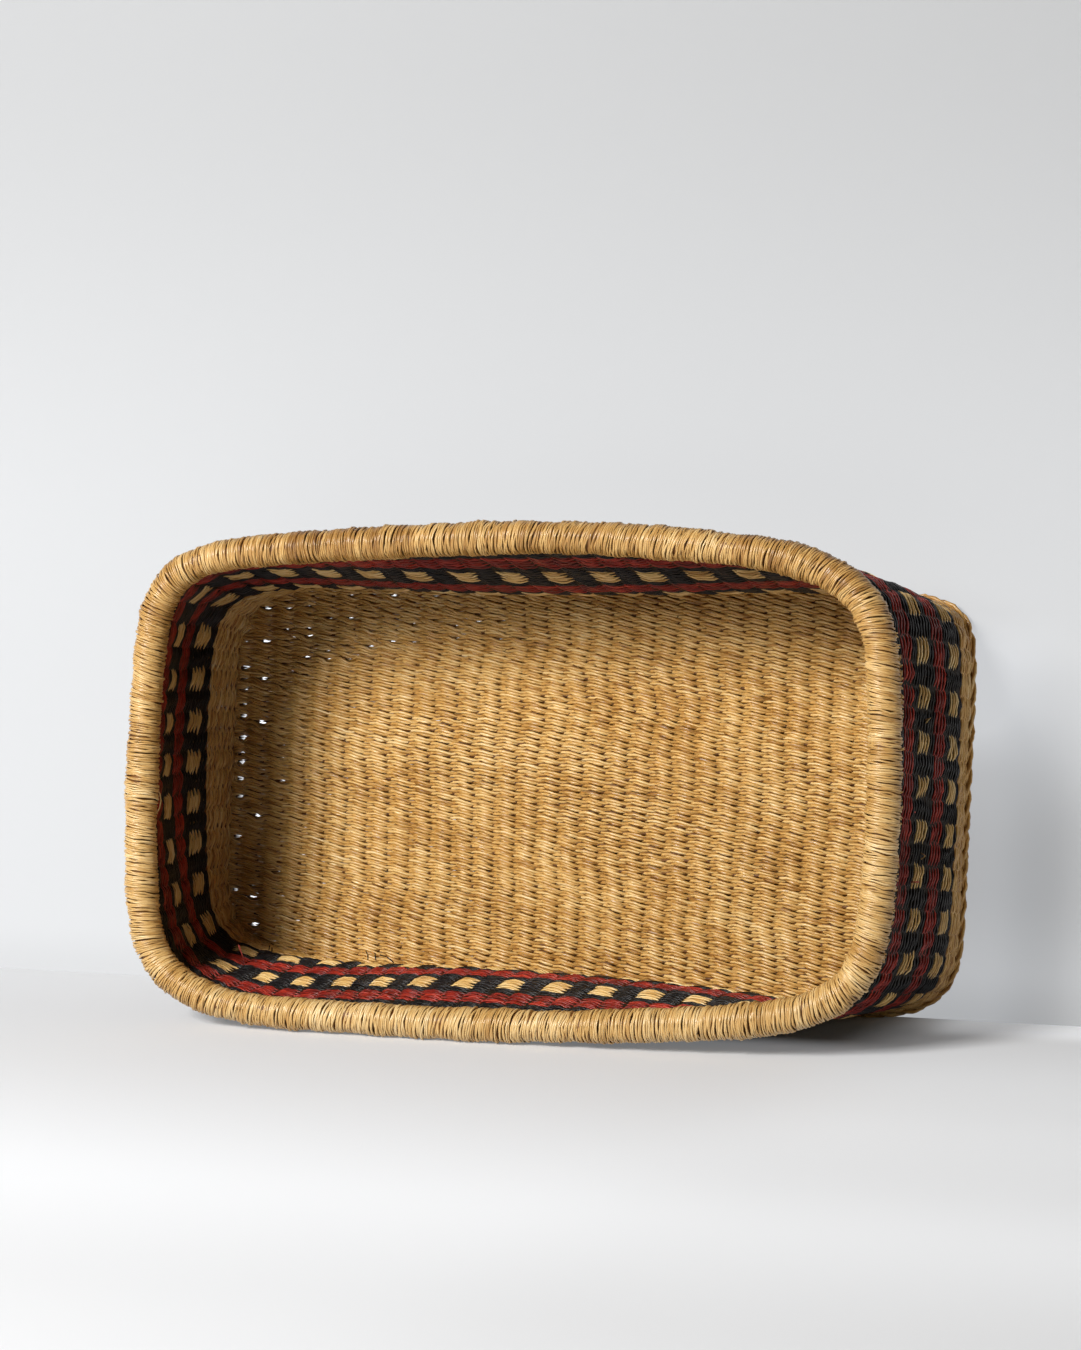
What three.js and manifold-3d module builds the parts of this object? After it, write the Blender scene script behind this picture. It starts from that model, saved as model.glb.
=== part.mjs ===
// Rectangular storage basket, twined from grass straw over bent stakes.
//
// The basket stands on its base with the mouth up: +Z is up, X runs along the
// long sides, and the origin is at the middle of the underside. Millimetres.
//
// Stakes cross the base and rise as the long walls, and two combs of inserted
// stakes make the short walls. Twined weft holds the stakes from both faces, so
// each coloured band is an outer and an inner layer of weft. The stake ends go
// up into a thick grass core that is wrapped with fine straw as the rim.

import * as THREE from 'three';
import { mergeVertices } from 'three/addons/utils/BufferGeometryUtils.js';
import Module from 'manifold-3d';

const wasm = await Module();
wasm.setup();

// Plan of the mouth, measured on the middle of the rim
const mouthHalfLength = 223.2;
const mouthHalfWidth = 130.6;
const mouthEndBow = 8.4;
const mouthSideBow = 9.4;

// Plan of the base, measured on the line of the stakes. The base reaches out past the
// mouth at the short walls, and the mouth past the base at the long ones.
const baseReach = 11.8;
const sideFlare = 8.6;
const baseSideBow = 3;

// Roundness of the corners: two would be an ellipse, more is squarer
const cornerPower = 7.5;

// How far the short walls belly out and the long walls are drawn in
const endBelly = 8;
const sideBelly = 9;
const sideWaist = 23;

// Twined rows
const rowPitch = 3.9;
const fineRowPitch = 3.4;
const dotRows = 4;
const dotMarginRows = 4;
const redRows = 4;
const naturalRows = 7;

// Thicknesses
const stakeDiameter = 2.4;
const wallWeft = 1.4;
const baseWeft = 2;
const clearance = 0.3;
const wallSlack = 1.2;

// Base border, a fat twined edge round the foot of the walls
const borderWidth = 3.6;
const borderChamfer = 1.1;

// Ribs of the weft on the base, one over each crossing stake
const ribDepth = 1;
const ribCrestShare = 0.5;

// Rim. The winding swells in bunches, most over the top of the rim.
const rimRadius = 9.75;
const rimWrapThickness = 2.35;
const bunchPitch = 28;
const bunchHeight = 1.1;
const leastStationGap = 2;

// Stakes
const stakePitch = 14;
const stakeSides = 5;

// Facets
const octantSteps = 6;
const cornerCrowding = 1.6;
const wrapOuterSteps = 11;
const wrapInnerSteps = 7;
const coreSides = 10;

const baseHalfLength = mouthHalfLength + baseReach;
const baseHalfWidth = mouthHalfWidth - sideFlare;

// Levels
const stakeRadius = stakeDiameter / 2;
const stakeZ = baseWeft + clearance + stakeRadius;
const baseTopZ = stakeZ + stakeRadius + clearance + baseWeft;
const dottedHeight = dotRows * rowPitch + dotMarginRows * fineRowPitch;
const redHeight = redRows * rowPitch;
const naturalHeight = naturalRows * rowPitch;
const rimZ = stakeZ + 3 * dottedHeight + 2 * redHeight + naturalHeight;

// Offsets from the line of the stakes, positive outwards
const weftFace = stakeRadius + wallSlack;
const wallHalf = weftFace + wallWeft;
const borderInner = stakeRadius * Math.SQRT2 + clearance;

// Rim section: the straw wrap is open below, where the wall goes in
const slotHalf = wallHalf + clearance;
const wrapInnerRadius = rimRadius - rimWrapThickness;
const wrapOuterStart = Math.asin(slotHalf / rimRadius);
const wrapInnerStart = Math.asin(slotHalf / wrapInnerRadius);
const wrapHalfFacet = (Math.PI - wrapInnerStart) / wrapInnerSteps;
const coreRadius = wrapInnerRadius * Math.cos(wrapHalfFacet) - clearance;
const slotTopZ = rimZ - coreRadius - clearance;
const slotMouthZ = rimZ - Math.sqrt(rimRadius ** 2 - slotHalf ** 2) - clearance;

const straw = new THREE.MeshStandardMaterial({ color: 0xc49b57, roughness: 0.62, metalness: 0 });
const redStraw = new THREE.MeshStandardMaterial({ color: 0x8c2a1c, roughness: 0.6, metalness: 0 });
const blackStraw = new THREE.MeshStandardMaterial({ color: 0x1d1d22, roughness: 0.6, metalness: 0 });
const stakeStraw = new THREE.MeshStandardMaterial({ color: 0xb08a4e, roughness: 0.7, metalness: 0 });

const basket = new THREE.Group();

function addPiece(name, geometry, material) {
  const piece = new THREE.Mesh(geometry, material);
  piece.name = name;
  basket.add(piece);
}

// Polar angles of one turn, crowded towards the four corners
function planAngles() {
  const angles = [];
  for (let quadrant = 0; quadrant < 4; quadrant += 1) {
    for (let step = 0; step < 2 * octantSteps; step += 1) {
      const share = Math.min(step, 2 * octantSteps - step) / octantSteps;
      const reach = (Math.PI / 4) * (1 - (1 - share) ** cornerCrowding);
      const angle = step <= octantSteps ? reach : Math.PI / 2 - reach;
      angles.push((quadrant * Math.PI) / 2 + angle);
    }
  }
  return angles;
}

const angles = planAngles();
const ringSize = angles.length;

// A rounded rectangle as a superellipse with bowed sides
function planRing(halfLength, halfWidth, endBow, sideBow) {
  return angles.map((angle) => {
    const cos = Math.cos(angle);
    const sin = Math.sin(angle);
    const power = Math.abs(cos) ** cornerPower + Math.abs(sin) ** cornerPower;
    const reach = power ** (-1 / cornerPower);
    const along = reach * cos;
    const across = reach * sin;
    return new THREE.Vector2(
      along * (halfLength + endBow * (1 - across ** 2)),
      across * (halfWidth + sideBow * (1 - along ** 2)),
    );
  });
}

// Outward directions at the corners of a ring, long enough to keep its sides parallel
function mitres(ring) {
  return ring.map((point, index) => {
    const before = ring[(index + ringSize - 1) % ringSize];
    const after = ring[(index + 1) % ringSize];
    const first = new THREE.Vector2(point.y - before.y, before.x - point.x).normalize();
    const second = new THREE.Vector2(after.y - point.y, point.x - after.x).normalize();
    const sum = first.add(second);
    return sum.multiplyScalar(2 / sum.lengthSq());
  });
}

function offsetRing(ring, offset) {
  const outward = mitres(ring);
  return ring.map((point, index) => point.clone().addScaledVector(outward[index], offset));
}

function raise(ring, z) {
  return ring.map((point) => new THREE.Vector3(point.x, point.y, z));
}

// Distances along the sides of a ring, from its first point
class Walk {
  constructor(ring) {
    this.sides = ring.map((point, index) => point.distanceTo(ring[(index + 1) % ringSize]));
    this.corners = [];
    this.girth = 0;
    for (const side of this.sides) {
      this.corners.push(this.girth);
      this.girth += side;
    }
  }

  placeAt(distance) {
    const walked = ((distance % this.girth) + this.girth) % this.girth;
    const index = this.corners.findLastIndex((corner) => corner <= walked);
    return { index, share: (walked - this.corners[index]) / this.sides[index] };
  }
}

const baseRing = planRing(baseHalfLength, baseHalfWidth, 0, baseSideBow);
const mouthRing = planRing(mouthHalfLength, mouthHalfWidth, mouthEndBow, mouthSideBow);

// Line of the stakes at a share of the wall's height, bellied at the ends and waisted at the sides
function wallRing(share) {
  const straight = baseRing.map((point, index) => point.clone().lerp(mouthRing[index], share));
  const outward = mitres(straight);
  const swell = Math.sin(Math.PI * share);
  return straight.map((point, index) => {
    const direction = outward[index].clone().normalize();
    const waist = sideWaist * (1 - (point.x / baseHalfLength) ** 2);
    const side = direction.y ** 2 * (sideBelly - waist);
    const end = direction.x ** 2 * endBelly;
    return point.addScaledVector(direction, swell * (side + end));
  });
}

// Levels of the band edges, from the foot of the wall to the rim
const bandFoot = baseTopZ + clearance;
const naturalTop = stakeZ + naturalHeight;
const lowDotsTop = naturalTop + dottedHeight;
const lowRedTop = lowDotsTop + redHeight;
const midDotsTop = lowRedTop + dottedHeight;
const highRedTop = midDotsTop + redHeight;

// The wall bends only at these levels, and is straight between them
const kneeLevels = [stakeZ, naturalTop, lowRedTop, slotMouthZ, slotTopZ];
const kneeRings = kneeLevels.map((level) => {
  const share = (level - stakeZ) / (slotMouthZ - stakeZ);
  return wallRing(Math.min(share, 1));
});

function wallAt(level, offset) {
  let knee = 0;
  while (knee < kneeLevels.length - 2 && level > kneeLevels[knee + 1]) {
    knee += 1;
  }
  const share = (level - kneeLevels[knee]) / (kneeLevels[knee + 1] - kneeLevels[knee]);
  const lower = offsetRing(kneeRings[knee], offset);
  const upper = offsetRing(kneeRings[knee + 1], offset);
  return raise(lower.map((point, index) => point.lerp(upper[index], share)), level);
}

// A closed hoop from rings that go once round its section, outside going up
function hoop(rings) {
  const positions = [];
  const indices = [];
  for (const ring of rings) {
    for (const point of ring) {
      positions.push(point.x, point.y, point.z);
    }
  }
  const size = rings[0].length;
  for (let section = 0; section < rings.length; section += 1) {
    const next = (section + 1) % rings.length;
    const rising = rings[next][0].z >= rings[section][0].z;
    for (let step = 0; step < size; step += 1) {
      const ahead = (step + 1) % size;
      const nearLow = section * size + step;
      const farLow = section * size + ahead;
      const farHigh = next * size + ahead;
      const nearHigh = next * size + step;
      if (rising) {
        indices.push(nearLow, farLow, farHigh, nearLow, farHigh, nearHigh);
      } else {
        indices.push(nearLow, farLow, nearHigh, farLow, farHigh, nearHigh);
      }
    }
  }
  const geometry = new THREE.BufferGeometry();
  geometry.setAttribute('position', new THREE.Float32BufferAttribute(positions, 3));
  geometry.setIndex(indices);
  return geometry;
}

// One layer of weft between two levels, on the outer or the inner face of the stakes
function weftLayer(bottom, levels, near, far) {
  const outside = [bottom, ...levels].map((level) => wallAt(level, far));
  const inside = [bottom, ...levels].map((level) => wallAt(level, near)).reverse();
  return hoop([...outside, ...inside]);
}

function addBand(name, bottom, levels, material) {
  addPiece(`${name}_outer`, weftLayer(bottom, levels, weftFace, wallHalf), material);
  addPiece(`${name}_inner`, weftLayer(bottom, levels, -wallHalf, -weftFace), material);
}

addBand('natural_band', bandFoot, [naturalTop - clearance], straw);
addBand('dotted_band_low', naturalTop, [lowDotsTop - clearance], blackStraw);
addBand('red_band_low', lowDotsTop, [lowRedTop - clearance], redStraw);
addBand('dotted_band_mid', lowRedTop, [midDotsTop - clearance], blackStraw);
addBand('red_band_high', midDotsTop, [highRedTop - clearance], redStraw);
addBand('dotted_band_high', highRedTop, [slotMouthZ, slotTopZ], blackStraw);

// Places of the stakes round the wall, evenly along its middle line. The middle of an
// end is at 0 and the middle of a side at a quarter of the girth. Stakes before the
// middle of the corner belong to the short wall.
const stakeWalk = new Walk(kneeRings[2]);
const quarter = stakeWalk.girth / 4;
const toCorner = stakeWalk.corners[octantSteps];
const stakesPerQuarter = Math.round(quarter / stakePitch - 0.5);
const spacing = quarter / (stakesPerQuarter + 0.5);
const endStakesPerHalf = Math.round(toCorner / spacing);
const sideStakesPerHalf = stakesPerQuarter - endStakesPerHalf;

// The run of a stake up the wall, from the corner of the base into the rim
function climb(distance) {
  const place = stakeWalk.placeAt(distance);
  return kneeRings.map((ring, knee) => {
    const near = ring[place.index];
    const far = ring[(place.index + 1) % ringSize];
    const point = near.clone().lerp(far, place.share);
    return new THREE.Vector3(point.x, point.y, kneeLevels[knee]);
  });
}

// The run of a crossing stake, counted from the middle one, up one long wall
function climbSide(stake) {
  return climb(quarter + stake * spacing);
}

// Solids are joined and cut with Manifold
function asSolid(geometry) {
  const bare = geometry.clone();
  bare.deleteAttribute('normal');
  bare.deleteAttribute('uv');
  const merged = mergeVertices(bare, 1e-4);
  const vertProperties = new Float32Array(merged.attributes.position.array);
  const triVerts = new Uint32Array(merged.index.array);
  return new wasm.Manifold(new wasm.Mesh({ numProp: 3, vertProperties, triVerts }));
}

function asGeometry(solid) {
  const mesh = solid.getMesh();
  const geometry = new THREE.BufferGeometry();
  geometry.setAttribute('position', new THREE.BufferAttribute(mesh.vertProperties, mesh.numProp));
  geometry.setIndex(new THREE.BufferAttribute(mesh.triVerts, 1));
  return geometry;
}

// Base weft, a sheet below and a ribbed sheet above the crossing stakes
function sheet(ring, bottom, thickness) {
  const outline = new THREE.Shape(ring.map((point) => new THREE.Vector2(point.x, point.y)));
  const geometry = new THREE.ExtrudeGeometry(outline, { depth: thickness, bevelEnabled: false });
  geometry.translate(0, 0, bottom);
  return geometry;
}

// A block under the ribs, with a flat crest over each crossing stake and a dip between
function ribBlock(bottom, top) {
  const outline = new THREE.Shape();
  const reach = 2 * baseHalfLength;
  outline.moveTo(reach, bottom);
  outline.lineTo(reach, top);
  let before = reach;
  for (let stake = -sideStakesPerHalf; stake <= sideStakesPerHalf; stake += 1) {
    const { x } = climbSide(stake)[0];
    const halfCrest = (ribCrestShare * spacing) / 2;
    if (stake > -sideStakesPerHalf) {
      outline.lineTo((before + x) / 2, top - ribDepth);
    }
    outline.lineTo(x + halfCrest, top);
    outline.lineTo(x - halfCrest, top);
    before = x;
  }
  outline.lineTo(-reach, top);
  outline.lineTo(-reach, bottom);
  const depth = 4 * baseHalfWidth;
  const geometry = new THREE.ExtrudeGeometry(outline, { depth, bevelEnabled: false });
  geometry.rotateX(Math.PI / 2);
  geometry.translate(0, depth / 2, 0);
  return geometry;
}

const topSheet = sheet(wallAt(baseTopZ, -weftFace), baseTopZ - baseWeft, baseWeft);
const ribs = ribBlock(baseTopZ - 2 * baseWeft, baseTopZ);
addPiece('base_weft_bottom', sheet(offsetRing(baseRing, stakeRadius), 0, baseWeft), straw);
addPiece('base_weft_top', asGeometry(asSolid(topSheet).intersect(asSolid(ribs))), straw);

// Base border
function borderHoop() {
  const outer = borderInner + borderWidth;
  const corners = [
    [outer - borderChamfer, 0],
    [outer, borderChamfer],
    [outer, baseTopZ - borderChamfer],
    [outer - borderChamfer, baseTopZ],
    [borderInner, baseTopZ],
    [borderInner, 0],
  ];
  return hoop(corners.map(([offset, z]) => raise(offsetRing(baseRing, offset), z)));
}

addPiece('base_border', borderHoop(), straw);

// Stations along the rim: the corners of its ring, and the crest and dip of each bunch.
// Between them a bunch rises and falls evenly.
const rimWalk = new Walk(mouthRing);
const bunchHalf = rimWalk.girth / (2 * Math.round(rimWalk.girth / bunchPitch));

function stationsAt(distances) {
  return distances.map((distance) => {
    const rise = 1 - Math.abs(((distance / bunchHalf) % 2) - 1);
    return { ...rimWalk.placeAt(distance), rise };
  });
}

function bunchStations() {
  const distances = [...rimWalk.corners];
  for (let distance = 0; distance < rimWalk.girth; distance += bunchHalf) {
    if (rimWalk.corners.every((corner) => Math.abs(corner - distance) > leastStationGap)) {
      distances.push(distance);
    }
  }
  return stationsAt(distances.sort((first, second) => first - second));
}

const rimOutward = mitres(mouthRing);

// A line along the rim at an angle round its section, which is 0 at the bottom
function rimRing(stations, radius, angle, swell) {
  return stations.map(({ index, share, rise }) => {
    const next = (index + 1) % ringSize;
    const reach = radius + swell * (rise - 0.5) * Math.sin(angle / 2) ** 2;
    const outward = rimOutward[index].clone().lerp(rimOutward[next], share);
    const point = mouthRing[index].clone().lerp(mouthRing[next], share);
    point.addScaledVector(outward, reach * Math.sin(angle));
    return new THREE.Vector3(point.x, point.y, rimZ - reach * Math.cos(angle));
  });
}

// Rim core and the straw wrapped round it
function rimCore() {
  const stations = stationsAt(rimWalk.corners);
  const rings = [];
  for (let side = 0; side < coreSides; side += 1) {
    rings.push(rimRing(stations, coreRadius, (2 * Math.PI * side) / coreSides, 0));
  }
  return hoop(rings);
}

function rimWrap() {
  const stations = bunchStations();
  const rings = [];
  for (let step = 0; step <= wrapOuterSteps; step += 1) {
    const angle = wrapOuterStart + (step / wrapOuterSteps) * 2 * (Math.PI - wrapOuterStart);
    rings.push(rimRing(stations, rimRadius, angle, bunchHeight));
  }
  for (let step = wrapInnerSteps; step >= 0; step -= 1) {
    const angle = wrapInnerStart + (step / wrapInnerSteps) * 2 * (Math.PI - wrapInnerStart);
    rings.push(rimRing(stations, wrapInnerRadius, angle, 0));
  }
  return hoop(rings);
}

addPiece('rim_core', rimCore(), stakeStraw);
addPiece('rim_wrap', rimWrap(), straw);

// A line that bends at its points, for rods swept along it
class BentLine extends THREE.Curve {
  constructor(points) {
    super();
    this.points = points;
  }

  getPointAt(share) {
    const place = share * (this.points.length - 1);
    const index = Math.min(Math.floor(place), this.points.length - 2);
    return this.points[index].clone().lerp(this.points[index + 1], place - index);
  }

  getTangentAt(share) {
    const index = Math.round(share * (this.points.length - 1));
    const here = this.points[index];
    const tangent = new THREE.Vector3();
    if (index > 0) {
      tangent.add(here.clone().sub(this.points[index - 1]).normalize());
    }
    if (index < this.points.length - 1) {
      tangent.add(this.points[index + 1].clone().sub(here).normalize());
    }
    return tangent.normalize();
  }
}

function rod(points) {
  const section = new THREE.Shape();
  for (let side = 0; side < stakeSides; side += 1) {
    const angle = (2 * Math.PI * side) / stakeSides;
    const x = stakeRadius * Math.cos(angle);
    const y = stakeRadius * Math.sin(angle);
    if (side === 0) {
      section.moveTo(x, y);
    } else {
      section.lineTo(x, y);
    }
  }
  section.closePath();
  const options = { steps: points.length - 1, extrudePath: new BentLine(points) };
  return new THREE.ExtrudeGeometry(section, options);
}

function mirrored(points) {
  return points.map((point) => new THREE.Vector3(point.x, -point.y, point.z));
}

// Stakes that cross the base and rise up both long walls
for (let stake = -sideStakesPerHalf; stake <= sideStakesPerHalf; stake += 1) {
  const wall = climbSide(stake);
  const path = [...wall.slice().reverse(), ...mirrored(wall)];
  const number = String(stake + sideStakesPerHalf + 1).padStart(2, '0');
  addPiece(`cross_stake_${number}`, rod(path), stakeStraw);
}

// Inserted stakes of a short wall, folded at the foot round one tie
function stakeComb(direction) {
  const outermostCross = climbSide(-sideStakesPerHalf)[0];
  const tieX = outermostCross.x + stakeDiameter + clearance;
  const feet = [];
  for (let stake = 0; stake < 2 * endStakesPerHalf; stake += 1) {
    const wall = climb((stake + 0.5 - endStakesPerHalf) * spacing);
    feet.push([new THREE.Vector3(tieX, wall[0].y, stakeZ), ...wall]);
  }
  const tieReach = feet[feet.length - 1][0].y + stakeRadius;
  const tie = rod([
    new THREE.Vector3(tieX, -tieReach, stakeZ),
    new THREE.Vector3(tieX, tieReach, stakeZ),
  ]);
  let comb = asSolid(tie);
  for (const path of feet) {
    comb = comb.add(asSolid(rod(path)));
  }
  if (direction < 0) {
    comb = comb.rotate([0, 0, 180]);
  }
  return asGeometry(comb);
}

addPiece('end_stakes_right', stakeComb(1), stakeStraw);
addPiece('end_stakes_left', stakeComb(-1), stakeStraw);

export default basket;
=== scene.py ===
import math

import bmesh
import bpy
import numpy as np
from mathutils import Matrix, Vector


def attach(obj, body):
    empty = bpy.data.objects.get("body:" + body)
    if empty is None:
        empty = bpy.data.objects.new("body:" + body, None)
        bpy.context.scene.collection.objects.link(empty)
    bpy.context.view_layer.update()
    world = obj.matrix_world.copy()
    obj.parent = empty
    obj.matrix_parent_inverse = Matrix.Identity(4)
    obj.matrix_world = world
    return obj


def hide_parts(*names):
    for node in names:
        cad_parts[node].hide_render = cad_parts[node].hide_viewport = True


# Rectangular storage basket, twined from grass straw. Every twined row is two straws
# of two plies each, which swap faces between the stakes, so one set of straws makes
# the inside and the outside of the basket.
#
# Sizes are in millimetres until a mesh is made. The plan is written as the mouth is
# seen from above with the far long wall up: half a turn puts it into the frame.

MM = 0.001
TURN = 2 * math.pi

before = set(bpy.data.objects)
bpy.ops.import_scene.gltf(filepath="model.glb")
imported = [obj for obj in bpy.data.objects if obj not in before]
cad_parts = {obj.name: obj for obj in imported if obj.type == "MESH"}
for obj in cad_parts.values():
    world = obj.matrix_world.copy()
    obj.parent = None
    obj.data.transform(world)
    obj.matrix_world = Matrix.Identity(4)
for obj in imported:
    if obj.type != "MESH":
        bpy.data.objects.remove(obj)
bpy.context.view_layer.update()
rng = np.random.default_rng(11)

# Plan of the base and of the mouth
BASE_HALF = (238.0, 122.2)
BASE_POWER = 8.1
BASE_BOW = (-1.2, 3.0)
BASE_TAPER = 0.043
BASE_TWIST = -0.017
BASE_SHIFT = (0.0, 0.6)
MOUTH_HALF = (223.2, 130.6)
MOUTH_POWER = 7.2
MOUTH_BOW = (8.4, 9.4)
MOUTH_TAPER = -0.008
MOUTH_SKEW = 0.012

# Where the mouth and the base stray from the even plan: place, reach and shift
MOUTH_STRAYS = (
    ((32, 140), 95, (0, 3.2)),
    ((212, 120), 38, (0, -1.6)),
    ((-205, 112), 42, (-3.0, 3.4)),
    ((150, -138), 90, (0, 2.4)),
    ((-160, -135), 40, (0, -1.8)),
)
BASE_STRAYS = (
    ((190, 125), 34, (0, -3.2)),
    ((238, 114), 17, (2.4, 1.6)),
)

# Where the walls lean in between the foot and the rim: place, reach, shift, and a power
# that sets the height where they do so most. One is half way up, and more is higher
WALL_TUCKS = (
    ((-236, 100), 83, (4.2, -5.5), 1.6),
    ((-243, -88), 75, (7.2, -3.2), 1.0),
    ((-205, -122), 58, (12.2, 5.4), 1.0),
)

# The left wall stands a little further out at its foot: how far, and how close to the end
LEFT_FOOT = 3.0
LEFT_FOOT_POWER = 8

# How far each wall swells out: half way up, and the difference between its halves
LEFT_BELLY = (16.5, 2.2)
RIGHT_BELLY = (2.8, 2.0)
FAR_BELLY = (8.9, -3.0)
NEAR_BELLY = (9.0, -2.6)
FAR_WAIST = -22.1
NEAR_WAIST = -24.0

# Stakes: some of their numbers round the wall, and where the hand set them along the girth
WALL_STAKES = 98
SET_STAKES = (
    (0, 84.1),
    (9, 214.1),
    (13, 276.3),
    (19, 364.3),
    (24, 442.1),
    (29, 517),
    (35, 610.2),
    (39, 667),
    (43, 718.5),
    (49, 799),
    (53, 866),
    (57, 930.3),
    (61, 982.1),
    (66, 1054.6),
    (75, 1188.6),
    (84, 1297.9),
    (98, 1476.6),
)
STAKE_RADIUS = 1.25
WALL_STAKE_RADIUS = 0.95
BASE_STAKE_PITCH = 14.4
BASE_STAKE_SHIFT = 4.7
BASE_STAKE_NUMBERS = range(-16, 16)
STAKE_LEVEL = 3.5
BASE_LIFT = 1.1
WALL_STAKE_POINTS = 9
BASE_STAKE_POINTS = 14

# How far the wall stakes end below the middle of the rim, and how far the cross stakes' ends
# follow a plan that is longer than the base's half length
STAKE_TOP_GAP = 6
CROSS_STAKE_ROOM = 2

# Rows, from the foot of the wall to the rim
ROW_PITCH = 3.9
FINE_PITCH = 3.4
NATURAL_ROWS = 7
RED_ROWS = 4
DOT_ROWS = 4
MARGIN_ROWS = 2
BASE_ROWS = 66

# Room that the rows of the base leave for the wall, and how far they reach past its plan
WALL_ROOM = 1.5
BASE_ROW_REACH = 0.5

# Twining, on the base and on the walls
BASE_PLY_RADIUS = 0.98
BASE_PLY_SPREAD = 0.95
BASE_FLATNESS = 1.0
BASE_DEPTH = 2.45
BASE_ROLL = 1.25
WALL_PLY_RADIUS = 0.64
WALL_PLY_SPREAD = 0.64
NATURAL_PLY_RADIUS = 0.86
NATURAL_PLY_SPREAD = 0.94
WALL_FLATNESS = 0.85
WALL_DEPTH = 1.7
WALL_ROLL = 1.15
WALL_SWING = 1.25
NATURAL_SWING = 0.85
DOT_PLY_RADIUS = 0.64
BASE_SWING = 1.15
DOT_TILT = 0.5
POINTS_PER_STAKE = 5

# How much a ply thickens and thins, and how many times for each turn round its neighbour
WALL_PLY_UNEVENNESS = 0.1
BASE_PLY_UNEVENNESS = 0.12
PLY_WAVES = 9

# Loose fibre inside the weave: its thickness, and its points
BASE_FILLING_RADIUS = 1.15
NATURAL_FILLING_RADIUS = 1.2
WALL_FILLING_RADIUS = 1.1
WALL_FILLING_POINTS = 2
BASE_FILLING_STEP = 2

# Border
BORDER_PLY_RADIUS = 1.15
BORDER_DEPTH = 1.0
BORDER_SWING = 1.1
BORDER_SPREAD = 1.0
BORDER_OFFSET = 2.5
BORDER_LEVEL = 4.1
BORDER_ROLL = 0.5
BORDER_PHASE = 0.2
BORDER_POINTS = 6

# Rim: two straws wound side by side round a core of grass
RIM_LEVEL = 149.6
RIM_RADIUS = 9.75
WRAP_RADIUS = 0.7
WRAP_PITCH = 2.45
WRAP_PAIR_GAP = 1.0
WRAP_POINTS = 20
WRAP_LEAN = 1.15
CORE_DEPTH = 1.35
CORE_STEP = 8.0
BUNCHES = 48
BUNCH_HEIGHT = 0.55

# How the winding strays along the rim, rises, thickens and leans, at so many knots a turn
WRAP_KNOTS = 10
WRAP_STRAY = 0.33
WRAP_RISE = 0.36
DEEPEST_DIP = -0.4
WRAP_THICKENING = 0.2
WRAP_THICKNESSES = (0.7, 1.35)
WRAP_LEAN_STRAY = 0.14

# Where the random fields are read: round circles of these sizes, and further off for each
# row or straw
WALL_CIRCLE = 40
BORDER_CIRCLE = 160
RIM_CIRCLE = 60
SAG_STEP = 0.6
LUMP_STRETCH = 3
PHASE_STEP = 5
ROCK_STRETCH = 4
ROCK_ROW_STEP = 7
ROCK_STRAW_STEP = 31
BORDER_STRAW_STEP = 9
BASE_STRAW_STEP = 300

# Steps round the plan, and the rise over which the wall's upward direction is measured
PLAN_STEPS = 1600
UP_STEP = 2


# Shape of the basket


def plan_loop(half, power, bow, taper, skew):
    """Points of a rounded rectangle with bowed sides."""
    angle = np.arange(PLAN_STEPS) * TURN / PLAN_STEPS
    cos = np.cos(angle)
    sin = np.sin(angle)
    reach = (np.abs(cos) ** power + np.abs(sin) ** power) ** (-1 / power)
    along = reach * cos
    across = reach * sin
    x = along * (half[0] + bow[0] * (1 - across**2))
    y = across * (half[1] + bow[1] * (1 - along**2))
    y = y * (1 + taper * x / half[0]) + skew * x
    return np.column_stack([x, y])


def outward(loop):
    """Unit directions out of a loop, in its plane."""
    run = np.roll(loop, -1, 0) - np.roll(loop, 1, 0)
    side = np.column_stack([run[:, 1], -run[:, 0]])
    return side / np.linalg.norm(side, axis=1)[:, None]


def turned(loop, angle):
    """Points turned about the middle of the plan."""
    cos = math.cos(angle)
    sin = math.sin(angle)
    return loop @ np.array([[cos, sin], [-sin, cos]])


def strayed(points, strays):
    """Points pushed out of line near some places, as the hand left them."""
    for place, reach, shift in strays:
        near = np.exp(-((np.linalg.norm(points - place, axis=1) / reach) ** 2))
        points = points + near[:, None] * shift
    return points


base_plan = plan_loop(BASE_HALF, BASE_POWER, BASE_BOW, BASE_TAPER, 0)
base_plan = strayed(turned(base_plan + BASE_SHIFT, BASE_TWIST), BASE_STRAYS)
base_plan[:, 0] -= LEFT_FOOT * np.clip(-base_plan[:, 0] / BASE_HALF[0], 0, 1) ** LEFT_FOOT_POWER
mouth_plan = plan_loop(MOUTH_HALF, MOUTH_POWER, MOUTH_BOW, MOUTH_TAPER, MOUTH_SKEW)
mouth_plan = strayed(mouth_plan, MOUTH_STRAYS)


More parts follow.
